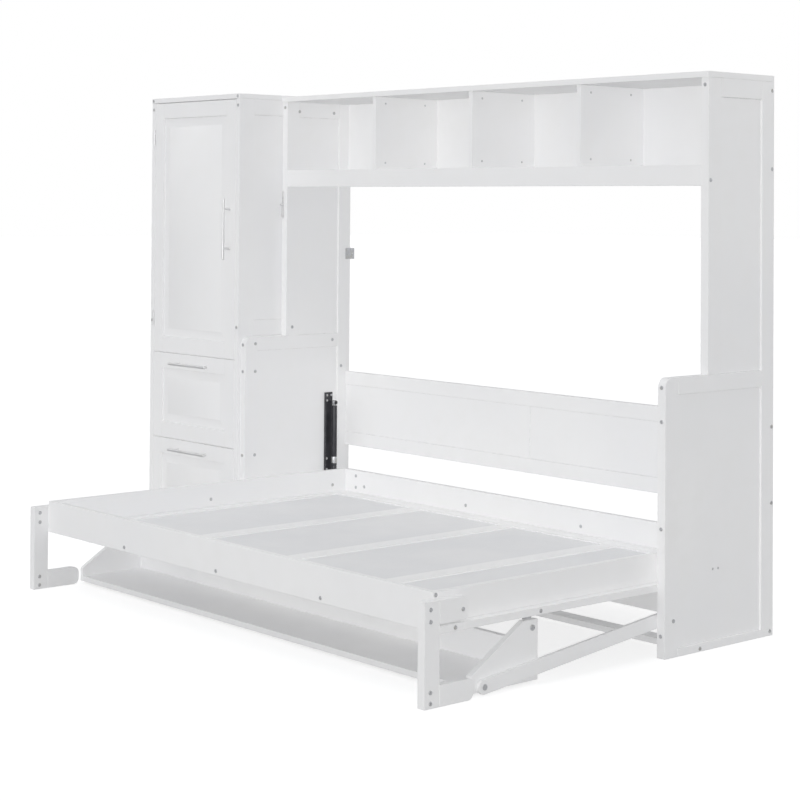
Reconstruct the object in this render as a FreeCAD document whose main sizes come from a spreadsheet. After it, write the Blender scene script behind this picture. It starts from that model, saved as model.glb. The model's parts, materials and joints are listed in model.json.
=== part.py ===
import FreeCAD, Part
import math
import os
import re
import Sketcher

# A wall bed with a fold-away desk under it and a wardrobe beside it.
# Frame: +Z up, +X along the wall, the wall at +Y and the room at -Y. The origin is the centre of the
# whole object's footprint, on the floor, with the bed lowered, the door and drawers shut.
# Depths below are distances out from the wall, so a depth d lies at y = overall_depth / 2 - d.

SIZES = {
    # overall
    "bed_width": 2240,
    "wardrobe_width": 630,
    "unit_gap": 3,
    "overall_depth": 1512,
    "unit_top": 1850,
    "wardrobe_top": 1857,
    # side panels of the bed unit
    "side_thick": 32,
    "lower_depth": 540,
    "upper_depth": 335,
    "lower_top": 876,
    "corner_round": 30,
    "stile": 62,
    "recess": 7,
    "foot_rail": 26,
    "mid_rail_low": 822,
    "head_rail": 61,
    "seat_deep": 20,
    "seat_wall": 3,
    # shelf unit over the bed
    "board": 20,
    "shelf_under": 1482,
    "apron_tall": 68,
    "back_thick": 12,
    "top_overhang": 4,
    # back board and floor stretchers
    "back_low": 410,
    "back_high": 715,
    "back_rail_tall": 54,
    "stretcher_front": 340,
    "stretcher_wide": 60,
    "stretcher_tall": 95,
    "stretcher_thick": 18,
    "stretcher_gap": 8,
    # wall anchors
    "anchor_low": 1184,
    "anchor_high": 1230,
    "anchor_depth": 26,
    "anchor_wide": 28,
    "anchor_steel": 2.5,
    "anchor_hole": 3,
    # bed tray: pivot, face panel and rails
    "pivot_out": 287,
    "pivot_up": 253,
    "bed_gap": 4.5,
    "leg_thick": 30,
    "leg_bolt_out": 35,
    "rail_thick": 20,
    "bed_front": 1454,
    "bed_back": 40,
    "face_back": 48,
    "face_low": 205,
    "face_thick": 22,
    "rail_top": 318,
    "panel_stile": 75,
    "panel_edge": 50,
    "panel_recess": 4,
    # legs
    "post_wide": 58,
    "leg_top": 300,
    "upper_arm_low": 232,
    "foot_arm_top": 62,
    "arm_back": 1343,
    "foot_round": 21,
    "foot_back": 1322,
    # desk and its levelling links
    "desk_back": 1040,
    "desk_front": 1312,
    "desk_low": 8,
    "desk_layer": 28,
    "bracket_top": 188,
    "bracket_flat": 1100,
    "bracket_nose": 58,
    "desk_rail_top": 118,
    "desk_pivot_out": 1064,
    "desk_pivot_up": 165,
    "ear_half": 18,
    "ear_steel": 3,
    "ear_foot": 40,
    "link_pivot_out": 499,
    "link_pivot_up": 115,
    "link_thick": 12,
    "link_layer": 7.5,
    "link_half": 22,
    # pins and fasteners
    "pivot_pin": 8,
    "small_pin": 5,
    "running": 0.05,
    "loose": 0.5,
    "head": 6.5,
    "head_tall": 2,
    "shank": 2.5,
    "shank_long": 45,
    "back_screw_gap": 609,
    "corner_screw_in": 121,
    "bush_screw_gap": 13,
    "cam_round": 4,
    "cam_in": 52,
    "cam_edge": 25,
    "cap": 9,
    "collar": 10,
    "bolt_gap": 0.5,
    # gas struts
    "strut_out": 91,
    "strut_top": 590,
    "strut_layer": 16,
    "tube_round": 11,
    "tube_bore": 9,
    "tube_long": 268,
    "tube_end": 12,
    "rod_round": 5,
    "eye_round": 10,
    "plate_thick": 3,
    "plate_low": 298,
    "plate_wide": 41,
    "plate_lip": 3,
    "plate_high": 632,
    # turn latch
    "latch_up": 1364,
    "latch_long": 46,
    "latch_half": 4.5,
    "latch_in": 6,
    "latch_turn": 3,
    "latch_knob": 4,
    # wardrobe
    "wardrobe_depth": 551,
    "wardrobe_side": 24,
    "case_recess": 6,
    "case_stile": 75,
    "plinth_tall": 46,
    "partition_drop": 11,
    "partition_thick": 19,
    "case_shelf_up": 1600,
    "case_shelf_thick": 18,
    "hanging_up": 1550,
    "hanging_round": 12.5,
    "hanging_bore": 11,
    "front_gap": 3,
    "front_thick": 22,
    "door_low": 785,
    "door_high": 1834,
    "drawer_tall": 355,
    "upper_drawer_low": 427,
    "lower_drawer_low": 69,
    "box_side": 12,
    "box_tall": 240,
    "box_back": 40,
    "runner_room": 13,
    "runner_tall": 35,
    # bar handles and hinges
    "bar_round": 6,
    "post_round": 5,
    "handle_out": 32,
    "door_bar": 250,
    "drawer_bar": 260,
    "door_bar_up": 1311,
    "door_bar_in": 37,
    "door_post_gap": 80,
    "drawer_post_gap": 96,
    "knuckle": 3.5,
    "hinge_pin": 1.5,
    "leaf": 1.2,
    "hinge_tall": 64,
    "hinge_deep": 24,
    "lower_hinge_up": 893,
    "upper_hinge_up": 1661,
}

doc = FreeCAD.newDocument("WallBed")
sheet = doc.addObject("Spreadsheet::Sheet", "Sizes")
for row, (alias, value) in enumerate(SIZES.items(), 1):
    sheet.set(f"A{row}", alias)
    sheet.set(f"B{row}", str(value))
    sheet.setAlias(f"B{row}", alias)
doc.recompute()

# The unit's right face, its left face and the inner faces of its two side panels
RIGHT = "(bed_width + unit_gap + wardrobe_width) / 2"
LEFT = f"({RIGHT} - bed_width)"
INNER_RIGHT = f"({RIGHT} - side_thick)"
INNER_LEFT = f"({LEFT} + side_thick)"
CENTRE = f"({RIGHT} - bed_width / 2)"
# The wardrobe's two outer faces
CASE_RIGHT = f"({LEFT} - unit_gap)"
CASE_LEFT = f"({CASE_RIGHT} - wardrobe_width)"
CASE_CENTRE = f"({CASE_RIGHT} - wardrobe_width / 2)"

SIDES = ("left", "right")
# How near a vertex lies to a sketch point to be the same one
TOUCHING = 0.01
# The radius on which a sketch's corners start, before its constraints place them
START_RING = 500
subparts = []


def bind(item, prop, text):
    """Bind a property to an expression in which every word is a cell of the sheet."""
    item.setExpression(prop, re.sub(r"[a-z_]+", lambda word: "Sizes." + word.group(), str(text)))


def out(depth):
    """The y of a depth, measured out from the wall."""
    return f"(overall_depth / 2 - ({depth}))"


def place(item, x, y, z):
    for axis, text in (("x", x), ("y", y), ("z", z)):
        bind(item, f".Placement.Base.{axis}", text)


def node(name, item):
    """Name a finished sub-part."""
    item.Label = name
    subparts.append(item)
    return item


def inwards(side, near, far):
    """The x span from near to far, measured inwards from a side panel's inner face."""
    if side == "left":
        return f"({INNER_LEFT} + ({near}))", f"({INNER_LEFT} + ({far}))"
    return f"({INNER_RIGHT} - ({far}))", f"({INNER_RIGHT} - ({near}))"


def layer(side, distance):
    """The x at a distance inwards from a side panel's inner face."""
    return f"({INNER_LEFT} + ({distance}))" if side == "left" else f"({INNER_RIGHT} - ({distance}))"


def box(name, x, depth, z):
    """A board between two x, two depths and two heights."""
    item = doc.addObject("Part::Box", name)
    bind(item, "Length", f"({x[1]}) - ({x[0]})")
    bind(item, "Width", f"({depth[1]}) - ({depth[0]})")
    bind(item, "Height", f"({z[1]}) - ({z[0]})")
    place(item, x[0], out(depth[1]), z[0])
    return item


def rod(name, radius, x, depth, z):
    """A cylinder along whichever of x, depth and z is given as a span."""
    item = doc.addObject("Part::Cylinder", name)
    bind(item, "Radius", radius)
    if isinstance(x, tuple):
        turn = FreeCAD.Rotation(FreeCAD.Vector(0, 1, 0), 90)
        span, base = x, (x[0], out(depth), z)
    elif isinstance(depth, tuple):
        turn = FreeCAD.Rotation(FreeCAD.Vector(1, 0, 0), -90)
        span, base = depth, (x, out(depth[1]), z)
    else:
        turn = FreeCAD.Rotation()
        span, base = z, (x, out(depth), z[0])
    item.Placement = FreeCAD.Placement(FreeCAD.Vector(), turn)
    bind(item, "Height", f"({span[1]}) - ({span[0]})")
    place(item, *base)
    return item


def fuse(name, *items):
    item = doc.addObject("Part::MultiFuse", name)
    item.Shapes = list(items)
    item.Refine = True
    return item


def cut(name, base, *tools):
    item = doc.addObject("Part::Cut", name)
    item.Base = base
    item.Tool = tools[0] if len(tools) == 1 else fuse(name + "_tools", *tools)
    item.Refine = True
    return item


def group(name, items):
    """Separate like solids that share one node."""
    item = doc.addObject("Part::Compound", name)
    item.Links = list(items)
    return node(name, item)


def plate(name, outline, x, holes=(), corners=(), radius=0):
    """A board that stands across X, cut to an outline of (depth, height) corners.

    holes are (depth, height, radius); corners are the outline's corners that are rounded.
    """
    body = doc.addObject("PartDesign::Body", name)
    sketch = body.newObject("Sketcher::SketchObject", name + "_outline")
    plane = next(item for item in body.Origin.OriginFeatures if item.Role == "YZ_Plane")
    sketch.AttachmentSupport = [(plane, "")]
    sketch.MapMode = "FlatFace"
    count = len(outline)
    turn = FreeCAD.Rotation(FreeCAD.Vector(0, 0, 1), 360 / count)
    corner = FreeCAD.Vector(START_RING, 0, 0)
    for _ in range(count):
        sketch.addGeometry(Part.LineSegment(corner, turn.multVec(corner)), False)
        corner = turn.multVec(corner)
    for i, (depth, z) in enumerate(outline):
        sketch.addConstraint(Sketcher.Constraint("Coincident", i, 2, (i + 1) % count, 1))
        pin_down(sketch, i, 1, depth, z)
    for depth, z, hole in holes:
        circle = sketch.addGeometry(Part.Circle(FreeCAD.Vector(), FreeCAD.Vector(0, 0, 1), 5), False)
        pin_down(sketch, circle, 3, depth, z)
        number = sketch.addConstraint(Sketcher.Constraint("Radius", circle, 5))
        bind(sketch, f"Constraints[{number}]", hole)
    pad = body.newObject("PartDesign::Pad", name + "_pad")
    pad.Profile = sketch
    bind(pad, "Length", f"({x[1]}) - ({x[0]})")
    if corners:
        doc.recompute()
        fillet = body.newObject("PartDesign::Fillet", name + "_rounding")
        fillet.Base = (pad, edges_at(pad.Shape, [sketch.getPoint(i, 1) for i in corners]))
        bind(fillet, "Radius", radius)
    bind(body, ".Placement.Base.x", x[0])
    return body


def pin_down(sketch, geometry, point, depth, z):
    """Hold a sketch point at a depth and a height."""
    for kind, text in (("DistanceX", out(depth)), ("DistanceY", z)):
        number = sketch.addConstraint(Sketcher.Constraint(kind, -1, 1, geometry, point, 1))
        bind(sketch, f"Constraints[{number}]", text)


def edges_at(shape, points):
    """Names of the edges along X that stand on the given outline points."""
    names = []
    for number, edge in enumerate(shape.Edges, 1):
        for point in points:
            if all(math.hypot(end.Y - point.x, end.Z - point.y) < TOUCHING for end in edge.Vertexes):
                names.append(f"Edge{number}")
    return names


def fastener(name, head_at, shank_at):
    """A head and a shank, each placed by its x, depth and height."""
    return fuse(name, rod(name + "_head", "head", *head_at), rod(name + "_shank", "shank", *shank_at))


def screw(name, x, depth, z, way):
    """A screw with a flat round head standing on a face; way is the head's direction."""
    if way == "front":
        head_at = (x, (depth, f"{depth} + head_tall"), z)
        return fastener(name, head_at, (x, (f"{depth} - shank_long", depth), z))
    if way == "-x":
        return fastener(name, ((f"{x} - head_tall", x), depth, z), ((x, f"{x} + shank_long"), depth, z))
    return fastener(name, ((x, f"{x} + head_tall"), depth, z), ((f"{x} - shank_long", x), depth, z))


def short_screw(name, side, depth, z, layer="0"):
    """A screw on a face that lies a layer in from a side panel, with its shank outwards."""
    head_at = (inwards(side, layer, f"{layer} + head_tall"), depth, z)
    shank_at = (inwards(side, f"{layer} - 15", layer), depth, z)
    return fastener(name, head_at, shank_at)


def recesses(name, x, fields, sunk):
    """Shallow fields sunk into both faces of a board that stands across X."""
    tools = []
    for number, (depth, z) in enumerate(fields):
        tools.append(box(f"{name}_outer{number}", (f"{x[1]} - {sunk}", f"{x[1]} + 1"), depth, z))
        tools.append(box(f"{name}_inner{number}", (f"{x[0]} - 1", f"{x[0]} + {sunk}"), depth, z))
    return tools


def build_side_panels():
    """The L-shaped framed sides of the bed unit, with a blind seat for each pivot bush."""
    top = "unit_top - board"
    outline = [
        (0, 0),
        ("lower_depth", 0),
        ("lower_depth", "lower_top"),
        ("upper_depth", "lower_top"),
        ("upper_depth", top),
        (0, top),
    ]
    fields = [
        (("stile", "lower_depth - stile"), ("foot_rail", "mid_rail_low")),
        (("stile", "upper_depth - stile"), ("lower_top + 9", f"{top} - head_rail")),
    ]
    for side in SIDES:
        name = f"side_panel_{side}"
        x = inwards(side, "-side_thick", 0)
        blind = inwards(side, "-seat_deep", 1)
        seat = rod(f"{name}_seat", "pivot_pin + seat_wall", blind, "pivot_out", "pivot_up")
        through = inwards(side, "-side_thick - 1", 1)
        link_hole = rod(f"{name}_link_hole", "small_pin", through, "link_pivot_out", "link_pivot_up")
        blank = plate(name + "_blank", outline, x, corners=[2], radius="corner_round")
        node(name, cut(name, blank, seat, link_hole, *recesses(name, x, fields, "recess")))


def build_shelf_unit():
    """Four open cubbies over the bed, with an apron along the front edge."""
    across = (INNER_LEFT, INNER_RIGHT)
    floor_top = "shelf_under + apron_tall"
    top = "unit_top - board"
    front = "upper_depth"
    node("shelf_top", box("shelf_top", (LEFT, RIGHT), (0, f"{front} + top_overhang"), (top, "unit_top")))
    inner = f"{front} - board"
    node("shelf_floor", box("shelf_floor", across, (0, inner), (f"{floor_top} - board", floor_top)))
    node("shelf_apron", box("shelf_apron", across, (inner, front), ("shelf_under", floor_top)))
    node("shelf_back", box("shelf_back", across, (0, "back_thick"), (floor_top, top)))
    dividers = []
    for number in (1, 2, 3):
        middle = f"{INNER_LEFT} + (bed_width - 2 * side_thick) * {number} / 4"
        x = (f"{middle} - board / 2", f"{middle} + board / 2")
        dividers.append(box(f"divider{number}", x, ("back_thick", f"{front} - 2"), (floor_top, top)))
    group("shelf_dividers", dividers)


def build_back_board():
    """The board behind the mattress: two rails and two flat panels that meet in the middle."""
    across = (INNER_LEFT, INNER_RIGHT)
    low, high = "back_low + back_rail_tall", "back_high - back_rail_tall"
    node("back_board_top_rail", box("back_board_top_rail", across, (0, "board"), (high, "back_high")))
    node("back_board_bottom_rail", box("back_board_bottom_rail", across, (0, "board"), ("back_low", low)))
    halves = [(INNER_LEFT, f"{CENTRE} - 0.5"), (f"{CENTRE} + 0.5", INNER_RIGHT)]
    panels = [box(f"back_half{n}", x, (3, "board - 3"), (low, high)) for n, x in enumerate(halves)]
    group("back_board_panels", panels)
    depth = ("stretcher_front", "stretcher_front + stretcher_wide")
    node("floor_stretcher_front", box("floor_stretcher_front", across, depth, (0, "board")))
    depth = ("stretcher_gap", "stretcher_gap + stretcher_thick")
    node("floor_stretcher_rear", box("floor_stretcher_rear", across, depth, (0, "stretcher_tall")))


def build_wall_brackets():
    """Steel angles that fix the unit to the wall, one inside each side panel."""
    height = ("anchor_low", "anchor_high")
    middle = "(anchor_low + anchor_high) / 2"
    brackets = []
    for side in SIDES:
        leaf = box(f"bracket_leaf_{side}", inwards(side, 0, "anchor_steel"), (0, "anchor_depth"), height)
        foot = box(f"bracket_foot_{side}", inwards(side, 0, "anchor_wide"), (0, "anchor_steel"), height)
        x = layer(side, "anchor_wide / 2 + 2")
        hole = rod(f"bracket_hole_{side}", "anchor_hole", x, (-1, "anchor_steel + 1"), middle)
        brackets.append(cut(f"bracket_{side}", fuse(f"bracket_bent_{side}", leaf, foot), hole))
    group("wall_brackets", brackets)


def build_bed_pivots():
    """The bed turns on two pins, each in a flanged bush set into a side panel."""
    at = ("pivot_out", "pivot_up")
    bushes, pins = [], []
    for side in SIDES:
        sleeve = rod(f"bush_sleeve_{side}", "pivot_pin + seat_wall", inwards(side, "-seat_deep", 0), *at)
        flange = rod(f"bush_flange_{side}", "2 * pivot_pin + 4", inwards(side, "-recess", "2 - recess"), *at)
        bore = rod(f"bush_bore_{side}", "pivot_pin + running", inwards(side, "2 - seat_deep", 3), *at)
        bushes.append(cut(f"bush_{side}", fuse(f"bush_solid_{side}", sleeve, flange), bore))
        shaft_x = inwards(side, "3 - seat_deep", "bed_gap + leg_thick")
        shaft = rod(f"pin_shaft_{side}", "pivot_pin", shaft_x, *at)
        collar = rod(f"pin_collar_{side}", "2 * pivot_pin + 3",
                     inwards(side, "bed_gap + leg_thick - 5", "bed_gap + leg_thick"), *at)
        pins.append(fuse(f"pin_{side}", shaft, collar))
    group("pivot_bushes", bushes)
    group("bed_pivot_pins", pins)


def build_bed_frame():
    """The tray that holds the mattress: a framed face panel with four rails standing on it."""
    face_top = "face_low + face_thick"
    rail_in = "(bed_gap + leg_thick)"
    outer = (layer("left", rail_in), layer("right", rail_in))
    inner = (f"({outer[0]} + rail_thick)", f"({outer[1]} - rail_thick)")
    full = (layer("left", "bed_gap"), layer("right", "bed_gap"))
    board = box("face_board", full, ("face_back", "bed_front"), ("face_low", face_top))
    notch = box("face_notch", outer, ("bed_front - rail_thick", "bed_front + 1"),
                ("face_low - 1", f"{face_top} + 1"))
    width = f"(({inner[1]} - {inner[0]} - 2 * panel_edge - 3 * panel_stile) / 4)"
    depth = ("bed_back + rail_thick + panel_stile", "bed_front - rail_thick - panel_stile")
    fields = []
    for number in range(4):
        low = f"{inner[0]} + panel_edge + {number} * ({width} + panel_stile)"
        x = (low, f"{low} + {width}")
        fields.append(box(f"field_over{number}", x, depth, (f"{face_top} - panel_recess", f"{face_top} + 1")))
        fields.append(box(f"field_under{number}", x, depth, ("face_low - 1", "face_low + panel_recess")))
    node("bed_face_panel", cut("bed_face_panel", board, notch, *fields))
    node("bed_front_rail", box("bed_front_rail", outer, ("bed_front - rail_thick", "bed_front"),
                               ("face_low", "rail_top")))
    node("bed_back_rail", box("bed_back_rail", outer, ("bed_back", "bed_back + rail_thick"),
                              (face_top, "rail_top")))
    rails = []
    for side in SIDES:
        x = inwards(side, rail_in, f"{rail_in} + rail_thick")
        rails.append(box(f"side_rail_{side}", x, ("bed_back + rail_thick", "bed_front - rail_thick"),
                         (face_top, "rail_top")))
    group("bed_side_rails", rails)


def build_legs():
    """C-shaped legs at the bed's front corners: a post, an arm to the side rail and a foot."""
    posts, arms, feet = [], [], []
    for side in SIDES:
        x = inwards(side, "bed_gap", "bed_gap + leg_thick")
        posts.append(box(f"post_{side}", x, ("bed_front", "bed_front + post_wide"), (0, "leg_top")))
        ends = [("arm_back", "upper_arm_low"), ("bed_front", "upper_arm_low"),
                ("bed_front", "leg_top"), ("arm_back", "leg_top")]
        arms.append(plate(f"arm_{side}", ends, x, corners=[0, 3], radius="foot_round"))
        ends = [("foot_back", 0), ("bed_front", 0),
                ("bed_front", "foot_arm_top"), ("foot_back", "foot_arm_top")]
        feet.append(plate(f"foot_{side}", ends, x, corners=[0, 3], radius="foot_round"))
    group("leg_posts", posts)
    group("leg_upper_arms", arms)
    group("leg_foot_arms", feet)


def build_desk():
    """A shallow desk hung under the bed: a board, a low back rail and two cheeks."""
    inner = "(desk_layer + board)"
    across = (layer("left", inner), layer("right", inner))
    board_top = "desk_low + board"
    node("desk_board", box("desk_board", across, ("desk_back", "desk_front"), ("desk_low", board_top)))
    back = ("desk_back", "desk_back + board")
    node("desk_back_rail", box("desk_back_rail", across, back, (board_top, "desk_rail_top")))
    outline = [
        ("desk_back", "desk_low"),
        ("desk_front", "desk_low"),
        ("desk_front", "bracket_nose"),
        ("bracket_flat", "bracket_top"),
        ("desk_back", "bracket_top"),
    ]
    bore = ("desk_pivot_out", "desk_pivot_up", "small_pin + running")
    cheeks = []
    for side in SIDES:
        x = inwards(side, "desk_layer", inner)
        cheeks.append(plate(f"cheek_{side}", outline, x, holes=[bore], corners=[2, 3], radius=10))
    group("desk_cheeks", cheeks)


def build_desk_hangers():
    """Steel angles under the face panel that carry the desk's pivot pins."""
    near = "(desk_layer + board + 1)"
    at = ("desk_pivot_out", "desk_pivot_up")
    depth = ("desk_pivot_out - ear_half", "desk_pivot_out + ear_half")
    hangers = []
    for side in SIDES:
        steel = inwards(side, near, f"{near} + ear_steel")
        ear = box(f"ear_{side}", steel, depth, ("desk_pivot_up", "face_low"))
        end = rod(f"ear_end_{side}", "ear_half", steel, *at)
        wide = inwards(side, near, f"{near} + ear_foot")
        foot = box(f"ear_foot_{side}", wide, depth, ("face_low - ear_steel", "face_low"))
        pin = rod(f"ear_pin_{side}", "small_pin", inwards(side, "desk_layer - 1", near), *at)
        cap = rod(f"ear_cap_{side}", "cap", inwards(side, "desk_layer - 4", "desk_layer - 1"), *at)
        hangers.append(fuse(f"hanger_{side}", ear, end, foot, pin, cap))
    group("desk_hangers", hangers)


def build_links():
    """Flat bars that keep the desk level; each turns on a bolt through its side panel."""
    at_panel = ("link_pivot_out", "link_pivot_up")
    desk_out = "(desk_pivot_out + link_pivot_out - pivot_out)"
    desk_up = "(desk_pivot_up + link_pivot_up - pivot_up)"
    at_desk = (desk_out, desk_up)
    under, over = "(link_layer - bolt_gap)", "(link_layer + link_thick + bolt_gap)"
    face = "-side_thick"
    panel_bolts, desk_bolts = [], []
    for side in SIDES:
        name = f"link_{side}"
        x = inwards(side, "link_layer", "link_layer + link_thick")
        node(name, link_bar(name, x, at_panel, at_desk))
        spans = {
            "head": ("head", f"{face} - head_tall", face),
            "shank": ("small_pin", face, f"{over} + 1"),
            "spacer": ("collar", 0, under),
            "nut": ("cap", over, f"{over} + 4.5"),
        }
        panel_bolts.append(turned(f"{name}_panel_bolt", side, spans, at_panel))
        spans = {
            "cap": ("cap", f"{under} - 2.5", under),
            "stud": ("small_pin", under, "desk_layer"),
            "collar": ("collar", over, "desk_layer"),
        }
        desk_bolts.append(turned(f"{name}_desk_bolt", side, spans, at_desk))
    group("link_panel_bolts", panel_bolts)
    group("link_desk_bolts", desk_bolts)


def turned(name, side, spans, at):
    """A turned piece along X: each span has a radius and its near and far distances inwards."""
    steps = [
        rod(f"{name}_{part}", radius, inwards(side, near, far), *at)
        for part, (radius, near, far) in spans.items()
    ]
    return fuse(name, *steps)


def link_bar(name, x, start, end):
    """A straight bar with round ends; its far hole is loose and its near one runs on its bolt."""
    lean = "(desk_pivot_up - pivot_up)"
    reach = "(desk_pivot_out - pivot_out)"
    outline = []
    length = f"((({reach}) ^ 2 + ({lean}) ^ 2) ^ 0.5)"
    for base, sign in ((start, -1), (end, -1), (end, 1), (start, 1)):
        outline.append((f"{base[0]} - {sign} * link_half * {lean} / {length}",
                        f"{base[1]} + {sign} * link_half * {reach} / {length}"))
    bar = plate(name + "_bar", outline, x)
    ends = [rod(f"{name}_end{n}", "link_half", x, *at) for n, at in enumerate((start, end))]
    through = (f"{x[0]} - 1", f"{x[1]} + 1")
    near = rod(name + "_near_hole", "small_pin + running", through, *start)
    far = rod(name + "_far_hole", "small_pin + loose", through, *end)
    return cut(name, fuse(name + "_solid", bar, *ends), near, far)


def build_struts():
    """Gas struts between the side panels and the bed, with a steel plate behind each."""
    head = "(strut_top - tube_end)"
    bottom = f"({head} - tube_long)"
    piston_top = "strut_top - 24"
    at = ("strut_out", "strut_top")
    plates, studs = [], []
    for side in SIDES:
        x = layer(side, "strut_layer")
        eye_x = inwards(side, "strut_layer - 6", "strut_layer + 6")
        plates.append(strut_plate(side))
        tube = rod(f"tube_{side}", "tube_round", x, "strut_out", (bottom, head))
        eye = rod(f"tube_eye_{side}", "eye_round", eye_x, *at)
        neck = rod(f"tube_neck_{side}", 6, x, "strut_out", (f"{head} - 2", "strut_top - 4"))
        bore_z = (f"{bottom} + tube_end", "strut_top - 20")
        bore = rod(f"tube_bore_{side}", "tube_bore", x, "strut_out", bore_z)
        gland_z = (f"{bottom} - 1", f"{bottom} + tube_end + 1")
        gland = rod(f"tube_gland_{side}", "rod_round + running", x, "strut_out", gland_z)
        pivot = rod(f"tube_pivot_{side}", "small_pin + running", inwards(side, 0, 30), *at)
        name = f"strut_tube_{side}"
        node(name, cut(name, fuse(f"tube_solid_{side}", tube, eye, neck), bore, gland, pivot))
        shaft = rod(f"shaft_{side}", "rod_round", x, "strut_out", ("pivot_up + 6", piston_top))
        piston_z = (f"{piston_top} - 10", piston_top)
        piston = rod(f"piston_{side}", "tube_bore - running", x, "strut_out", piston_z)
        end = rod(f"rod_eye_{side}", "eye_round - 1", eye_x, "strut_out", "pivot_up")
        name = f"strut_rod_{side}"
        node(name, fuse(name, shaft, piston, end))
        stud_x = inwards(side, "strut_layer + 7", "bed_gap + leg_thick")
        studs.append(rod(f"stud_{side}", 7, stud_x, "strut_out", "pivot_up"))
    group("strut_plates", plates)
    return studs


def strut_plate(side):
    """A steel plate with a folded outer edge; the strut's top pin stands on it."""
    height = ("plate_low", "plate_high")
    at = ("strut_out", "strut_top")
    face = "(plate_thick - recess)"
    end = "(strut_out - small_pin + plate_wide)"
    flat = box(f"plate_{side}", inwards(side, "-recess", face), (f"{end} - plate_wide", end), height)
    fold = inwards(side, "-recess", "plate_lip")
    lip = box(f"plate_lip_{side}", fold, (f"{end} - plate_thick", end), height)
    pin = rod(f"plate_pin_{side}", "small_pin", inwards(side, face, "strut_layer + 8"), *at)
    cap = rod(f"plate_cap_{side}", 8, inwards(side, "strut_layer + 7", "strut_layer + 10"), *at)
    return fuse(f"strut_plate_{side}", flat, lip, pin, cap)


def build_latch():
    """A turn latch on the left panel's upper front edge, on a steel strip; it holds the raised bed."""
    x = f"({LEFT} + latch_in)"
    face = "upper_depth"
    pivot, tip, stop = "latch_up", "latch_up + latch_long", "latch_up + 2 * latch_long"
    blade = (f"{face} + 2.5", f"{face} + 6")
    bar = box("latch_bar", (f"{x} - latch_half", f"{x} + latch_half"), blade, (pivot, tip))
    ends = [rod(f"latch_end{n}", "latch_half", x, blade, z) for n, z in enumerate((pivot, tip))]
    knob = rod("latch_knob", "latch_knob", x, (f"{face} + 6", f"{face} + 14"), tip)
    hole = rod("latch_hole", "latch_turn + running", x, (face, f"{face} + 8"), pivot)
    node("latch_left", cut("latch_left", fuse("latch_solid", bar, knob, *ends), hole))
    strip_x = (f"{x} - latch_half - 0.5", f"{x} + latch_half + 0.5")
    strip = box("latch_strip", strip_x, (face, f"{face} + 2"), (f"{pivot} - 10", f"{stop} + 8"))
    shank = rod("latch_shank", "latch_turn", x, (f"{face} + 1", f"{face} + 6.5"), pivot)
    head = rod("latch_head", "latch_half + 0.5", x, (f"{face} + 6.5", f"{face} + 8.5"), pivot)
    cap = rod("latch_cap", "latch_knob", x, (f"{face} + 1", f"{face} + 4"), stop)
    node("latch_mount", fuse("latch_mount", strip, shank, head, cap))


def panel_middle(side):
    """The x half way through a side panel's thickness."""
    return f"({LEFT} + side_thick / 2)" if side == "left" else f"({RIGHT} - side_thick / 2)"


def build_unit_screws():
    """Screw heads on the outer faces, front edges and inner faces of the side panels."""
    outer = [
        (10, "unit_top - 50"),
        (10, "shelf_under + apron_tall - board / 2"),
        (10, "back_high - back_rail_tall / 2"),
        (10, "back_low + back_rail_tall / 2"),
        ("stretcher_gap + stretcher_thick / 2", 16),
        ("upper_depth - board / 2", "shelf_under + 18"),
        ("stretcher_front + stretcher_wide / 2", "board / 2"),
    ]
    head_rail, mid_rail = "unit_top - 58", "mid_rail_low + 28"
    upper, lower = "back_high + 24", "back_low - 6"
    inner = [
        ("upper_depth - stile", head_rail),
        ("stile + 30", head_rail),
        ("upper_depth - stile / 2", "lower_top + 34"),
        ("lower_depth - stile + 12", mid_rail),
        ("stile + 30", mid_rail),
        ("lower_depth - stile + 12", upper),
        ("stile - 17", upper),
        ("lower_depth - stile + 12", lower),
    ]
    edge = [
        ("lower_depth", "foot_rail + 44"),
        ("lower_depth", lower),
        ("lower_depth", upper),
        ("lower_depth", "lower_top - corner_round"),
        ("upper_depth", "unit_top - 43"),
    ]
    screws = []
    for side in SIDES:
        face, way = (LEFT, "-x") if side == "left" else (RIGHT, "+x")
        for number, (depth, z) in enumerate(outer):
            screws.append(screw(f"outer_screw_{side}{number}", face, depth, z, way))
        for number, (depth, z) in enumerate(inner):
            screws.append(short_screw(f"inner_screw_{side}{number}", side, depth, z))
        for number, (depth, z) in enumerate(edge):
            screws.append(screw(f"edge_screw_{side}{number}", panel_middle(side), depth, z, "front"))
        field = f"({LEFT} + recess)" if side == "left" else f"({RIGHT} - recess)"
        for number, depth in enumerate(("pivot_out + bush_screw_gap", "pivot_out - bush_screw_gap")):
            screws.append(cam(f"bush_screw_{side}{number}", side, field, depth, "pivot_up"))
    floor_top = "shelf_under + apron_tall"
    for number in (1, 2, 3):
        face = f"({INNER_LEFT} + (bed_width - 2 * side_thick) * {number} / 4 + board / 2)"
        for end, depth in (("front", "upper_depth - cam_in"), ("back", "back_thick + cam_in + 14")):
            for row, z in (("top", "unit_top - board - cam_edge"), ("foot", f"{floor_top} + cam_edge")):
                screws.append(cam(f"cam_{number}_{end}_{row}", "right", face, depth, z))
    return screws


def cam(name, side, face, depth, z):
    """The small round end of a fastener let into a face that looks to one side."""
    span = (f"{face} - 1.5", face) if side == "left" else (face, f"{face} + 1.5")
    return rod(name, "cam_round", span, depth, z)


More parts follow.
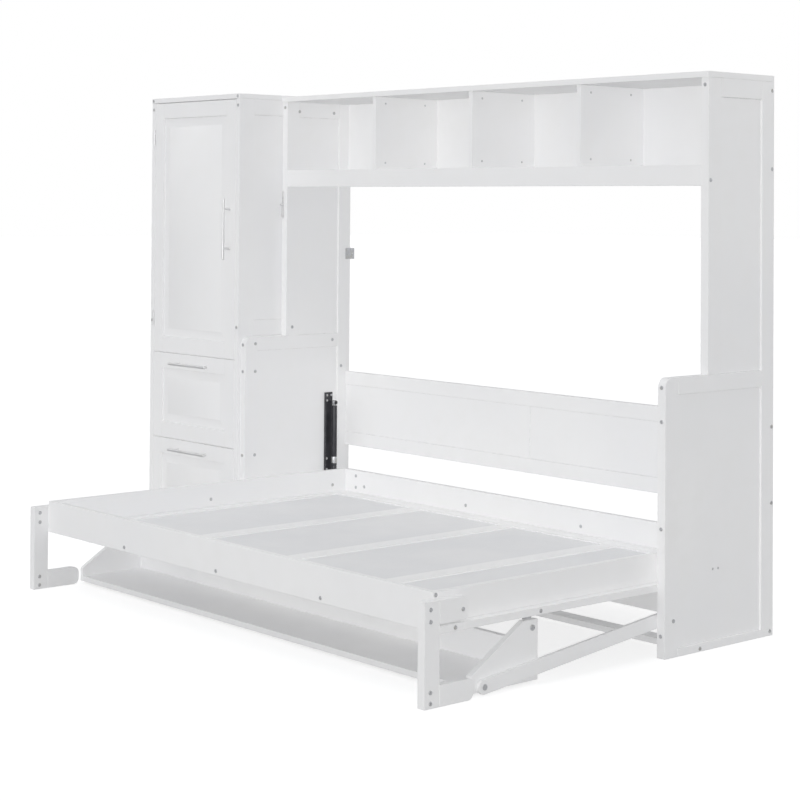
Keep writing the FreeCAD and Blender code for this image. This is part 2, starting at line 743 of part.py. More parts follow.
def build_bed_screws(screws):
    """Screws of the bed tray and its legs, with the struts' studs."""
    span = "(bed_width - 2 * side_thick)"
    mid_face = "face_low + 15"
    leg = [
        ("bed_front + leg_bolt_out", "leg_top - 22"),
        ("bed_front + leg_bolt_out", "leg_top - 56"),
        ("bed_front + leg_bolt_out", "foot_arm_top - 16"),
        ("bed_front + leg_bolt_out", 15),
    ]
    lip = [160, "desk_back / 2 + 6", "desk_back + 11", "arm_back + 52"]
    tray = [130, "desk_pivot_out - 323", "arm_back - 3"]
    tray_face = "(bed_gap + leg_thick + rail_thick)"
    for number in (1, 2, 3):
        x = f"{INNER_LEFT} + {span} * {number} / 4"
        screws.append(screw(f"front_rail_screw{number}", x, "bed_front", mid_face, "front"))
    inner_back = "bed_back + rail_thick"
    for number, place in enumerate((-1.5, -0.5, 0.5, 1.5)):
        x = f"({CENTRE} + ({place}) * back_screw_gap)"
        screws.append(screw(f"back_rail_screw{number}", x, inner_back, "pivot_up + 3", "front"))
    for side in SIDES:
        away = "-x" if side == "left" else "+x"
        for number, z in enumerate(("pivot_up - 5", "pivot_up + 42")):
            x = layer(side, "corner_screw_in")
            screws.append(screw(f"corner_screw_{side}{number}", x, inner_back, z, "front"))
        end_grain = ("bed_front - rail_thick / 2", "rail_top - 9")
        screws.append(screw(f"rail_end_screw_{side}", layer(side, "(bed_gap + leg_thick)"), *end_grain, away))
        for number, (depth, z) in enumerate(leg):
            screws.append(leg_bolt(f"leg_bolt_{side}{number}", side, depth, z, "cap"))
        screws.append(leg_bolt(f"arm_bolt_{side}", side, "arm_back + 22", "leg_top - 36", None))
        outside = layer(side, "bed_gap")
        for number, depth in enumerate(lip):
            name = f"lip_screw_{side}{number}"
            screws.append(screw(name, outside, depth, "face_low + face_thick / 2", away))
        for number, depth in enumerate(tray):
            screws.append(short_screw(f"tray_screw_{side}{number}", side, depth, "pivot_up + 4", tray_face))
    group("bed_fasteners", screws)


def leg_bolt(name, side, depth, z, end):
    """A bolt across a leg, with a head on its outer face and, where that is free, a cap inside."""
    spans = {
        "head": ("head", "bed_gap - head_tall", "bed_gap"),
        "shank": ("shank", "bed_gap", "bed_gap + leg_thick"),
    }
    if end:
        spans[end] = ("head", "bed_gap + leg_thick", "bed_gap + leg_thick + head_tall")
    return turned(name, side, spans, (depth, z))


def build_case():
    """The wardrobe's case: sides, top, back, floor boards, plinth, shelf and hanging rail."""
    inner = (f"({CASE_LEFT} + wardrobe_side)", f"({CASE_RIGHT} - wardrobe_side)")
    under = "wardrobe_top - board"
    front = "(wardrobe_depth - front_thick - 2)"
    fields = [
        (("case_stile", "wardrobe_depth - case_stile"), ("door_low + 157", f"{under} - 64")),
        (("case_stile", "wardrobe_depth - case_stile"), ("plinth_tall + board", "door_low + 95")),
    ]
    walls = []
    for side in SIDES:
        x = (CASE_LEFT, inner[0]) if side == "left" else (inner[1], CASE_RIGHT)
        name = f"case_side_{side}"
        blank = box(name + "_blank", x, (0, "wardrobe_depth"), (0, under))
        walls.append(cut(name, blank, *recesses(name, x, fields, "case_recess")))
    group("wardrobe_sides", walls)
    base = ("plinth_tall", "plinth_tall + board")
    partition = ("door_low - partition_drop", "door_low - partition_drop + partition_thick")
    rail_low = "upper_drawer_low - partition_drop"
    rail = (rail_low, f"{rail_low} + partition_thick")
    shelf = ("case_shelf_up", "case_shelf_up + case_shelf_thick")
    boards = {
        "wardrobe_top": ((CASE_LEFT, CASE_RIGHT), (0, "wardrobe_depth + 2"), (under, "wardrobe_top")),
        "wardrobe_back": (inner, (2, 10), (base[1], under)),
        "wardrobe_base": (inner, (10, front), base),
        "wardrobe_partition": (inner, (10, front), partition),
        "wardrobe_drawer_rail": (inner, (f"{front} - 60", front), rail),
        "wardrobe_plinth": (inner, (f"{front} - 2", "wardrobe_depth - 4"), (0, "plinth_tall")),
        "wardrobe_shelf": (inner, (10, f"{front} - 10"), shelf),
    }
    for name, spans in boards.items():
        node(name, box(name, *spans))
    at = ("wardrobe_depth / 2", "hanging_up")
    tube = rod("rail_tube", "hanging_round", inner, *at)
    hollow = rod("rail_hollow", "hanging_bore", (f"{inner[0]} - 1", f"{inner[1]} + 1"), *at)
    node("wardrobe_hanging_rail", cut("wardrobe_hanging_rail", tube, hollow))
    runners = []
    thick = "(runner_room - 0.5)"
    spans = {"left": (inner[0], f"{inner[0]} + {thick}"), "right": (f"{inner[1]} - {thick}", inner[1])}
    for side in SIDES:
        for name, low in (("upper", "upper_drawer_low"), ("lower", "lower_drawer_low")):
            height = (f"{low} + 90", f"{low} + 90 + runner_tall")
            runners.append(box(f"runner_{name}_{side}", spans[side], (60, f"{front} - 20"), height))
    group("drawer_runners", runners)


def front_span():
    """The x span of the wardrobe's door and drawer fronts."""
    margin = "wardrobe_side + front_gap"
    return f"({CASE_LEFT} + {margin})", f"({CASE_RIGHT} - ({margin}))"


def framed_front(name, z):
    """A door or drawer front with a flat field sunk into it, front and back."""
    x = front_span()
    depth = ("wardrobe_depth - front_thick", "wardrobe_depth")
    blank = box(name + "_blank", x, depth, z)
    field_x = (f"{x[0]} + stile", f"{x[1]} - stile")
    field_z = (f"{z[0]} + stile + 4", f"{z[1]} - stile - 2")
    over = box(name + "_over", field_x, ("wardrobe_depth - recess", "wardrobe_depth + 1"), field_z)
    under = box(name + "_under", field_x, (f"{depth[0]} - 1", f"{depth[0]} + 5"), field_z)
    return node(name, cut(name, blank, over, under))


def build_door():
    """The wardrobe door, its upright bar handle and two butt hinges."""
    framed_front("door_panel", ("door_low", "door_high"))
    x = f"{front_span()[1]} - door_bar_in"
    middle = "door_bar_up"
    bar_depth = "wardrobe_depth + handle_out"
    bar = rod("door_bar", "bar_round", x, bar_depth, (f"{middle} - door_bar / 2", f"{middle} + door_bar / 2"))
    posts = [
        rod(f"door_post{n}", "post_round", x, ("wardrobe_depth", bar_depth), f"{middle} {sign} door_post_gap")
        for n, sign in enumerate("-+")
    ]
    node("door_handle", fuse("door_handle", bar, *posts))
    fixed, moving = [], []
    pin_x = f"({CASE_LEFT} + wardrobe_side + front_gap / 2)"
    pin_depth = "wardrobe_depth + knuckle + 0.5"
    depth = ("wardrobe_depth - hinge_deep", pin_depth)
    for number, low in enumerate(("lower_hinge_up", "upper_hinge_up")):
        half = f"{low} + hinge_tall / 2"
        high = f"{low} + hinge_tall"
        leaf_x = (f"{CASE_LEFT} + wardrobe_side", f"{CASE_LEFT} + wardrobe_side + leaf")
        leaf = box(f"fixed_leaf{number}", leaf_x, depth, (low, f"{half} - 0.5"))
        lower = rod(f"fixed_knuckle{number}", "knuckle", pin_x, pin_depth, (low, f"{half} - 0.5"))
        pin = rod(f"hinge_pin{number}", "hinge_pin", pin_x, pin_depth, (low, high))
        fixed.append(fuse(f"fixed_hinge{number}", leaf, lower, pin))
        leaf_x = (f"{front_span()[0]} - leaf", f"{front_span()[0]}")
        leaf = box(f"moving_leaf{number}", leaf_x, depth, (f"{half} + 0.5", high))
        upper = rod(f"moving_knuckle{number}", "knuckle", pin_x, pin_depth, (f"{half} + 0.5", high))
        bore = rod(f"moving_bore{number}", "hinge_pin + running", pin_x, pin_depth, (half, f"{high} + 1"))
        moving.append(cut(f"moving_hinge{number}", fuse(f"moving_solid{number}", leaf, upper), bore))
    group("door_hinges_fixed", fixed)
    group("door_hinges_moving", moving)


def build_drawer(which, low):
    """A drawer: framed front, open box and bar handle."""
    framed_front(f"drawer_{which}_front", (low, f"{low} + drawer_tall"))
    back = "wardrobe_depth - front_thick"
    margin = "wardrobe_side + runner_room"
    x = (f"({CASE_LEFT} + {margin})", f"({CASE_RIGHT} - ({margin}))")
    z = (f"{low} + 22", f"{low} + 22 + box_tall")
    solid = box(f"{which}_box_solid", x, ("box_back", back), z)
    hollow = box(f"{which}_box_hollow", (f"{x[0]} + box_side", f"{x[1]} - box_side"),
                 ("box_back + box_side", f"{back} - box_side"), (f"{z[0]} + 9", f"{z[1]} + 1"))
    node(f"drawer_{which}_box", cut(f"drawer_{which}_box", solid, hollow))
    bar_depth = "wardrobe_depth + handle_out"
    height = f"{low} + drawer_tall - 40"
    half = "drawer_bar / 2"
    across = (f"{CASE_CENTRE} - {half}", f"{CASE_CENTRE} + {half}")
    bar = rod(f"{which}_bar", "bar_round", across, bar_depth, height)
    reach = ("wardrobe_depth", bar_depth)
    posts = [
        rod(f"{which}_post{n}", "post_round", f"{CASE_CENTRE} {sign} drawer_post_gap", reach, height)
        for n, sign in enumerate("-+")
    ]
    node(f"drawer_{which}_handle", fuse(f"drawer_{which}_handle", bar, *posts))


def build_case_screws(screws):
    """Screw heads on the wardrobe's outer faces and front edges."""
    base = "plinth_tall + board / 2"
    places = [(30, "door_low"), (515, "door_low"), (30, base), (515, base)]
    for side in SIDES:
        face, way = (CASE_LEFT, "-x") if side == "left" else (CASE_RIGHT, "+x")
        middle = f"{CASE_LEFT} + wardrobe_side / 2" if side == "left" else f"{CASE_RIGHT} - wardrobe_side / 2"
        for number, (depth, z) in enumerate(places):
            screws.append(screw(f"case_screw_{side}{number}", face, depth, z, way))
        for number, z in enumerate(("door_low + 130", "door_high - 24")):
            screws.append(screw(f"case_edge_screw_{side}{number}", middle, "wardrobe_depth", z, "front"))
        top_edge = ("wardrobe_depth + 2", "wardrobe_top - board / 2")
        screws.append(screw(f"case_top_screw_{side}", middle, *top_edge, "front"))
    group("case_screws", screws)


build_side_panels()
build_shelf_unit()
build_back_board()
build_wall_brackets()
build_bed_pivots()
build_bed_frame()
build_legs()
build_desk()
build_desk_hangers()
build_links()
build_bed_screws(build_struts())
build_latch()
build_case()
build_door()
build_drawer("upper", "upper_drawer_low")
build_drawer("lower", "lower_drawer_low")
build_case_screws(build_unit_screws())
doc.recompute()

failed = [item.Label for item in doc.Objects if "Invalid" in item.State or "Error" in item.State]
if failed:
    raise RuntimeError(f"these objects failed: {failed}")
for item in subparts:
    if item.Shape.isNull() or not item.Shape.isValid() or not item.Shape.Solids:
        raise RuntimeError(f"{item.Label} has no valid shape")

os.makedirs("parts", exist_ok=True)
for item in subparts:
    item.Shape.exportStep(f"parts/{item.Label}.step")
print(f"{len(subparts)} sub-parts, {sum(len(item.Shape.Solids) for item in subparts)} solids")
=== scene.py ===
import json
import math

import bmesh
import bpy
from mathutils import Matrix, Vector


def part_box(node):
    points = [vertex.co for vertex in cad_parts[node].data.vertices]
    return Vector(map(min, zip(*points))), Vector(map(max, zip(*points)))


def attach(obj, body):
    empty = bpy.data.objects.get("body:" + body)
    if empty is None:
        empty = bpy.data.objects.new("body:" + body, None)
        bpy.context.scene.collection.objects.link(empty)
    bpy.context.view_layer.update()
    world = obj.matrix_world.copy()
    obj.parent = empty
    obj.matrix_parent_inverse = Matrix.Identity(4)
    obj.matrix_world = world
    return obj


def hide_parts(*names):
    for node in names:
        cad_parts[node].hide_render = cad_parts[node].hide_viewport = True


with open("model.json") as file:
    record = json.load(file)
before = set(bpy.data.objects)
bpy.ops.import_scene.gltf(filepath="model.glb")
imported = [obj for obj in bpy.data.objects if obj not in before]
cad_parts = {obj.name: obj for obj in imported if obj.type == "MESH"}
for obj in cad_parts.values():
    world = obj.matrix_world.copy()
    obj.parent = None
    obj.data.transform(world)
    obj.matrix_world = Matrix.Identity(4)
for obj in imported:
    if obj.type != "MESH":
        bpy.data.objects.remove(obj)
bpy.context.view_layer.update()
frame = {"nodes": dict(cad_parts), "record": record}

# A wall bed with its shelf unit, fold-away desk and wardrobe, in white painted board.
# Metres throughout, +X along the wall, +Y towards the wall, +Z up.

bodies_of_nodes = {
    node: body for body, nodes in frame["record"]["behaviour"]["bodies"].items() for node in nodes
}
slots_of_nodes = {row["node"]: row["material_slot"] for row in frame["record"]["subparts"]}

# Framing of the panels
STILE = 0.062
RECESS = 0.007
FOOT_RAIL = 0.026
MID_RAIL_LOW = 0.822
LOWER_TOP = 0.876
UPPER_DEPTH = 0.335
HEAD_RAIL = 0.061
CORNER_ROUND = 0.030
CASE_STILE = 0.075
CASE_RECESS = 0.006
CASE_FOOT_RAIL = 0.066
CASE_HEAD_RAIL = 0.064
# Heights above the partition's top
CASE_MID_RAIL = (0.087, 0.149)
BOTTOM_RAIL = 0.066
TOP_RAIL = 0.064
RAISED_BORDER = 0.038
RAISED_SLOPE = 0.004
RAISED_STEP = 0.0022
FIELD_BACK = 0.005
BED_STILE = 0.075
BED_EDGE = 0.050
BED_RECESS = 0.004
# Turned parts and steel
BAR_ROUND = 0.006
# Half the distance between a handle's two posts
DOOR_POSTS = 0.080
DRAWER_POSTS = 0.096
HINGE_LEAF = 0.0012
HINGE_GAP = 0.0003
HINGE_SLOT = 0.0005
KNUCKLE = 0.0035
HINGE_PIN = 0.0015
TUBE_EYE = 0.010
ROD_EYE = 0.009
PLATE_STEEL = 0.003
BOX_WALL = 0.012
BOX_FLOOR = 0.009
# Widths of the softened edges
BOARD_EDGE = 0.0014
JOINT_EDGE = 0.0010
STEEL_EDGE = 0.0005
# Fasteners: a solid wider than STUD_OVER is a stud, and one shorter than LONE_DISC is a bare disc
STUD_OVER = 0.0066
LONE_DISC = 0.003
HEAD_TALL = 0.002
# Facets
SIDES = 32
ARC_STEPS = 8
# The order in which a pair's solids are sorted
PAIR = ("left", "right")


# ---------------------------------------------------------------- materials


class Look:
    """A procedural material, with short calls for the nodes that the looks share."""

    def __init__(self, name, **values):
        self.material = bpy.data.materials.new(name)
        self.material.use_nodes = True
        self.nodes = self.material.node_tree.nodes
        self.links = self.material.node_tree.links
        self.shader = self.nodes["Principled BSDF"]
        for socket, value in values.items():
            self.shader.inputs[socket.replace("_", " ")].default_value = value
        self.place = self.nodes.new("ShaderNodeTexCoord").outputs["Object"]

    def set(self, socket, output):
        self.links.new(output, self.shader.inputs[socket])

    def noise(self, scale, detail=3.0, stretch=None, rough=0.5):
        node = self.nodes.new("ShaderNodeTexNoise")
        node.inputs["Scale"].default_value = scale
        node.inputs["Detail"].default_value = detail
        node.inputs["Roughness"].default_value = rough
        place = self.place
        if stretch:
            mapping = self.nodes.new("ShaderNodeMapping")
            mapping.inputs["Scale"].default_value = stretch
            self.links.new(place, mapping.inputs["Vector"])
            place = mapping.outputs["Vector"]
        self.links.new(place, node.inputs["Vector"])
        return node.outputs["Fac"]

    def cells(self, scale):
        node = self.nodes.new("ShaderNodeTexVoronoi")
        node.inputs["Scale"].default_value = scale
        self.links.new(self.place, node.inputs["Vector"])
        return node.outputs["Distance"]

    def span(self, value, low, high, out_low=0.0, out_high=1.0):
        """A value mapped from one range to another, and held inside it."""
        node = self.nodes.new("ShaderNodeMapRange")
        ends = {"From Min": low, "From Max": high, "To Min": out_low, "To Max": out_high}
        for socket, number in ends.items():
            node.inputs[socket].default_value = number
        self.links.new(value, node.inputs["Value"])
        return node.outputs["Result"]

    def mix(self, factor, first, second):
        """A colour between two, each a colour or another node's output."""
        node = self.nodes.new("ShaderNodeMix")
        node.data_type = "RGBA"
        self.links.new(factor, node.inputs["Factor"])
        for socket, colour in ((node.inputs[6], first), (node.inputs[7], second)):
            if isinstance(colour, tuple):
                socket.default_value = (*colour, 1.0)
            else:
                self.links.new(colour, socket)
        return node.outputs[2]

    def times(self, first, second):
        node = self.nodes.new("ShaderNodeMath")
        node.operation = "MULTIPLY"
        self.links.new(first, node.inputs[0])
        self.links.new(second, node.inputs[1])
        return node.outputs["Value"]

    def edges(self, radius):
        """One along edges and in corners, nought on flat ground."""
        bevel = self.nodes.new("ShaderNodeBevel")
        bevel.samples = 4
        bevel.inputs["Radius"].default_value = radius
        ground = self.nodes.new("ShaderNodeNewGeometry")
        dot = self.nodes.new("ShaderNodeVectorMath")
        dot.operation = "DOT_PRODUCT"
        self.links.new(bevel.outputs["Normal"], dot.inputs[0])
        self.links.new(ground.outputs["Normal"], dot.inputs[1])
        return self.span(dot.outputs["Value"], 0.995, 0.80)

    def bumps(self, *layers):
        """Bump from (height, strength, depth) layers, one on another."""
        normal = None
        for height, strength, depth in layers:
            node = self.nodes.new("ShaderNodeBump")
            node.inputs["Strength"].default_value = strength
            node.inputs["Distance"].default_value = depth
            self.links.new(height, node.inputs["Height"])
            if normal:
                self.links.new(normal, node.inputs["Normal"])
            normal = node.outputs["Normal"]
        self.set("Normal", normal)


def white_paint(name, along_edges, band):
    """Satin paint sprayed on board: a fine orange peel, faint clouds, and edges and corners darkened partly
    as wear and partly as painted shade in the joints.
    """
    look = Look(name, Specular_IOR_Level=0.42)
    clouds = look.span(look.noise(1.7, 4.0), 0.35, 0.65)
    blotches = look.span(look.noise(14.0, 5.0), 0.45, 0.75)
    ground = look.mix(clouds, (0.800, 0.801, 0.808), (0.830, 0.829, 0.829))
    ground = look.mix(look.times(blotches, look.noise(2.3)), ground, (0.805, 0.803, 0.798))
    # Darker along edges and in corners: partly wear, partly painted shade in the joints between boards.
    wear_and_shade_mask = look.times(look.edges(band), look.span(look.noise(38.0, 4.0), 0.36, 0.58))
    look.set("Base Color", look.mix(wear_and_shade_mask, ground, along_edges))
    look.set("Roughness", look.span(look.noise(9.0, 5.0), 0.3, 0.7, 0.34, 0.48))
    peel = look.noise(620.0, 2.0)
    waves = look.noise(24.0, 2.0)
    look.bumps((waves, 0.10, 0.002), (peel, 0.14, 0.0004))
    return look.material


def inner_board():
    """Matt laminate: a fine pearl grain and a slightly greyer white than the paint, which is painted shade
    where it covers the bed's fields; edges and corners are darkened partly as wear and partly as painted
    shade.
    """
    look = Look("inner_board", Specular_IOR_Level=0.35)
    clouds = look.span(look.noise(3.1, 4.0), 0.35, 0.65)
    # A greyer white than the paint; on the bed's fields it is painted shade.
    ground = look.mix(clouds, (0.705, 0.710, 0.722), (0.740, 0.742, 0.748))
    flecks = look.span(look.noise(340.0, 2.0), 0.62, 0.75)
    ground = look.mix(flecks, ground, (0.66, 0.662, 0.668))
    # Darker along edges and in corners: partly wear, partly painted shade in the joints.
    wear_and_shade_mask = look.times(look.edges(0.002), look.noise(45.0, 3.0))
    look.set("Base Color", look.mix(wear_and_shade_mask, ground, (0.47, 0.46, 0.45)))
    look.set("Roughness", look.span(look.noise(20.0, 4.0), 0.3, 0.7, 0.50, 0.62))
    look.bumps((look.noise(480.0, 3.0), 0.18, 0.0004))
    return look.material


def brushed_steel():
    """Satin stainless: fine streaks round and along the bars, with edges brightened by rubbing."""
    look = Look("brushed_steel", Metallic=0.85, Anisotropic=0.35)
    streaks = look.noise(90.0, 4.0, stretch=(14.0, 1.0, 14.0), rough=0.7)
    smudges = look.span(look.noise(26.0, 4.0), 0.4, 0.7)
    ground = look.mix(look.span(streaks, 0.35, 0.65), (0.66, 0.66, 0.67), (0.82, 0.82, 0.825))
    ground = look.mix(smudges, ground, (0.72, 0.715, 0.71))
    look.set("Base Color", look.mix(look.edges(0.0006), ground, (0.88, 0.88, 0.885)))
    look.set("Roughness", look.span(streaks, 0.3, 0.7, 0.24, 0.40))
    look.bumps((streaks, 0.12, 0.0002))
    return look.material


def zinc_screws():
    """Bright zinc plate: crystal spangle, faint yellowing and darker hollows."""
    look = Look("zinc_screws", Metallic=0.75)
    spangle = look.span(look.cells(420.0), 0.0, 0.7)
    ground = look.mix(spangle, (0.66, 0.67, 0.69), (0.50, 0.505, 0.52))
    tarnish = look.span(look.noise(60.0, 4.0), 0.5, 0.75)
    ground = look.mix(tarnish, ground, (0.50, 0.48, 0.43))
    look.set("Base Color", look.mix(look.edges(0.0005), ground, (0.78, 0.78, 0.79)))
    look.set("Roughness", look.span(look.noise(210.0, 3.0), 0.3, 0.7, 0.26, 0.46))
    look.bumps((look.noise(700.0, 2.0), 0.15, 0.0002))
    return look.material


def black_steel():
    """Black powder coat on pressed steel: fine grit, dusty patches and bright edges where the coat wears
    through.
    """
    look = Look("black_steel", Specular_IOR_Level=0.5, Coat_Weight=0.15, Coat_Roughness=0.3)
    clouds = look.span(look.noise(30.0, 4.0), 0.35, 0.7)
    ground = look.mix(clouds, (0.012, 0.012, 0.016), (0.032, 0.032, 0.038))
    along_edges = look.times(look.edges(0.0012), look.span(look.noise(160.0, 4.0), 0.42, 0.60))
    look.set("Base Color", look.mix(along_edges, ground, (0.20, 0.20, 0.21)))
    look.set("Roughness", look.span(look.noise(70.0, 4.0), 0.3, 0.7, 0.30, 0.52))
    look.bumps((look.noise(900.0, 2.0), 0.25, 0.0003))
    return look.material


def bright_rod():
    """Hard chrome: nearly a mirror, with hair scratches along the stroke and a film of oil."""
    look = Look("bright_rod", Metallic=1.0)
    scratches = look.noise(160.0, 3.0, stretch=(9.0, 9.0, 0.5), rough=0.6)
    film = look.span(look.noise(40.0, 3.0), 0.45, 0.7)
    ground = look.mix(look.span(scratches, 0.3, 0.7), (0.72, 0.725, 0.735), (0.62, 0.62, 0.63))
    look.set("Base Color", look.mix(film, ground, (0.58, 0.56, 0.52)))
    look.set("Roughness", look.span(scratches, 0.3, 0.7, 0.07, 0.17))
    look.bumps((scratches, 0.06, 0.0001))
    return look.material


LOOKS = {
    # White paint's darker edges and corners: partly wear, partly painted shade in the joints.
    "white_paint": white_paint("white_paint", (0.600, 0.593, 0.580), 0.0022),
    # A copy of the white paint whose edges and corners are much darker: painted shade in the joints round
    # the sunk fields.
    "field_paint_joint_shade": white_paint("field_paint_joint_shade", (0.300, 0.300, 0.310), 0.0030),
    "inner_board": inner_board(),
    "brushed_steel": brushed_steel(),
    "zinc_screws": zinc_screws(),
    "black_steel": black_steel(),
    "bright_rod": bright_rod(),
}


# ---------------------------------------------------------------- mesh helpers


def show(name, bm, node, edge=None, slot=None, look=None):
    """Make a piece of a mesh: it stands for a CAD node, moves with it and takes its slot.

    A slot or a look given here is used in place of the node's own.
    """
    bmesh.ops.recalc_face_normals(bm, faces=bm.faces)
    mesh = bpy.data.meshes.new(name)
    bm.to_mesh(mesh)
    bm.free()
    mesh.shade_smooth()
    piece = bpy.data.objects.new(name, mesh)
    bpy.context.scene.collection.objects.link(piece)
    slot = slot or slots_of_nodes[node]
    mesh.materials.append(LOOKS[look or slot])
    if edge:
        bevel = piece.modifiers.new("softened edges", "BEVEL")
        bevel.width = edge
        bevel.segments = 3
        bevel.limit_method = "ANGLE"
        bevel.angle_limit = math.radians(35)
        bevel.harden_normals = True
    else:
        mesh.set_sharp_from_angle(angle=math.radians(38))
    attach(piece, bodies_of_nodes[node])
    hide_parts(node)


def prism(bm, outline, axis, low, high):
    """Add an outline run along one axis; its points are on the two other axes, in their order."""
    ends = []
    for along in (low, high):
        ring = []
        for a, b in outline:
            point = [a, b]
            point.insert(axis, along)
            ring.append(bm.verts.new(point))
        ends.append(ring)
    bm.faces.new(ends[0])
    bm.faces.new(reversed(ends[1]))
    for i in range(len(outline)):
        j = (i + 1) % len(outline)
        bm.faces.new((ends[0][i], ends[0][j], ends[1][j], ends[1][i]))


def block(bm, low, high):
    """Add a box between two corners."""
    outline = [(low[1], low[2]), (high[1], low[2]), (high[1], high[2]), (low[1], high[2])]
    prism(bm, outline, 0, low[0], high[0])


def board(name, node, low, high, slot=None, look=None):
    """One board of a framed panel."""
    bm = bmesh.new()
    block(bm, low, high)
    show(name, bm, node, JOINT_EDGE, slot, look)


def rounded(outline, corners, radius):
    """An outline with some of its corners made into arcs."""
    result = []
    for i, point in enumerate(outline):
        if i not in corners:
            result.append(point)
            continue
        here = Vector(point)
        back = (Vector(outline[i - 1]) - here).normalized()
        ahead = (Vector(outline[(i + 1) % len(outline)]) - here).normalized()
        half = back.angle(ahead) / 2
        centre = here + (back + ahead).normalized() * radius / math.sin(half)
        start = (here + back * radius / math.tan(half) - centre).normalized()
        end = (here + ahead * radius / math.tan(half) - centre).normalized()
        steps = [step / ARC_STEPS for step in range(ARC_STEPS + 1)]
        result += [tuple(centre + radius * start.slerp(end, step)) for step in steps]
    return result


def lathe(bm, origin, direction, profile, sides=SIDES, ring=False):
    """Add a turned solid. The profile is (distance, radius) steps; a radius may be a function of the angle.

    A ring's last step joins its first, so it has a hole through it.
    """
    turn = Vector(direction).to_track_quat("Z", "Y").to_matrix()
    rows = []
    for distance, radius in profile:
        row = []
        for i in range(sides):
            angle = 2 * math.pi * i / sides
            reach = radius(angle) if callable(radius) else radius
            local = Vector((reach * math.cos(angle), reach * math.sin(angle), distance))
            row.append(bm.verts.new(Vector(origin) + turn @ local))
        rows.append(row)
    pairs = list(zip(rows, rows[1:]))
    if ring:
        pairs.append((rows[-1], rows[0]))
    for near, far in pairs:
        for i in range(sides):
            j = (i + 1) % sides
            bm.faces.new((near[i], near[j], far[j], far[i]))
    if not ring:
        bm.faces.new(reversed(rows[0]))
        bm.faces.new(rows[-1])


def hexagon(half_width):
    """The radius, by angle, of a hexagonal socket."""
    sector = math.pi / 3
    return lambda angle: half_width / math.cos(angle % sector - sector / 2)


def cross(half_width, reach):
    """The radius, by angle, of a crosshead's slots."""
    quarter = math.pi / 2

    def radius(angle):
        off = (angle + quarter / 2) % quarter - quarter / 2
        return min(reach, half_width / max(abs(math.sin(off)), 1e-4))

    return radius


def bolt_head(bm, at, direction, radius, tall, kind="hex"):
    """Add a domed head that stands on a face, with a socket sunk in it."""
    drive = hexagon(0.40 * radius) if kind == "hex" else cross(0.13 * radius, 0.55 * radius)
    profile = [
        (0.0, radius),
        (0.45 * tall, radius),
        (0.75 * tall, 0.95 * radius),
        (0.95 * tall, 0.82 * radius),
        (tall, 0.68 * radius),
        (tall, drive),
        (0.25 * tall, drive),
    ]
    lathe(bm, at, direction, profile, sides=48)


def solids(node):
    """A CAD node's separate solids, each as a clean mesh with its flat faces whole."""
    bm = bmesh.new()
    bm.from_mesh(frame["nodes"][node].data)
    bmesh.ops.remove_doubles(bm, verts=bm.verts, dist=1e-5)
    bmesh.ops.dissolve_limit(bm, angle_limit=math.radians(0.5), verts=bm.verts, edges=bm.edges)
    left = set(bm.faces)
    found = []
    while left:
        stack = [next(face for face in bm.faces if face in left)]
        part = set(stack)
        while stack:
            for edge in stack.pop().edges:
                for face in edge.link_faces:
                    if face not in part:
                        part.add(face)
                        stack.append(face)
        left -= part
        found.append(copy_of([face for face in bm.faces if face in part]))
    bm.free()
    return sorted(found, key=lambda solid: tuple(round(value, 4) for value in reach_of(solid)[0]))


def copy_of(faces):
    """A mesh of its own that holds only these faces."""
    bm = bmesh.new()
    places = {}
    for face in faces:
        for vert in face.verts:
            if vert not in places:
                places[vert] = bm.verts.new(vert.co)
        bm.faces.new([places[vert] for vert in face.verts])
    return bm


def reach_of(bm):
    """The lowest and highest corners of a mesh."""
    spots = [vert.co for vert in bm.verts]
    low = Vector([min(spot[i] for spot in spots) for i in range(3)])
    high = Vector([max(spot[i] for spot in spots) for i in range(3)])
    return low, high


def dress(node, edge=BOARD_EDGE, names=None, look=None):
    """Show a CAD node's solids as separate pieces with softened edges."""
    parts = solids(node)
    for number, solid in enumerate(parts):
        if len(parts) == 1:
            name = f"{node}_shown"
        elif names:
            name = f"{node}_{names[number]}"
        else:
            name = f"{node}_{number + 1}"
        show(name, solid, node, edge, look=look)


# ---------------------------------------------------------------- framed panels


def side_panels():
    """The L-shaped sides: stiles, rails and two sunk fields, each its own board."""
    for side in PAIR:
        node = f"side_panel_{side}"
        low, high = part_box(node)
        front, back = low.y, high.y
        upper_front = back - UPPER_DEPTH

        def part(name, y, z, sunk=0.0):
            # Sunk fields take the paint with painted shade along their joints.
            look = "field_paint_joint_shade" if sunk else None
            ends = ((low.x + sunk, y[0], z[0]), (high.x - sunk, y[1], z[1]))
            board(f"{node}_{name}", node, *ends, look=look)

        stile = [(front, 0.0), (front + STILE, 0.0), (front + STILE, LOWER_TOP), (front, LOWER_TOP)]
        bm = bmesh.new()
        prism(bm, rounded(stile, [3], CORNER_ROUND), 0, low.x, high.x)
        show(f"{node}_front_stile", bm, node, BOARD_EDGE)
        part("back_stile", (back - STILE, back), (0.0, high.z))
        part("upper_stile", (upper_front, upper_front + STILE), (LOWER_TOP, high.z))
        inner = (front + STILE, back - STILE)
        part("foot_rail", inner, (0.0, FOOT_RAIL))
        part("mid_rail", inner, (MID_RAIL_LOW, LOWER_TOP))
        part("lower_field", inner, (FOOT_RAIL, MID_RAIL_LOW), RECESS)
        inner = (upper_front + STILE, back - STILE)
        part("head_rail", inner, (high.z - HEAD_RAIL, high.z))
        part("upper_field", inner, (LOWER_TOP, high.z - HEAD_RAIL), RECESS)


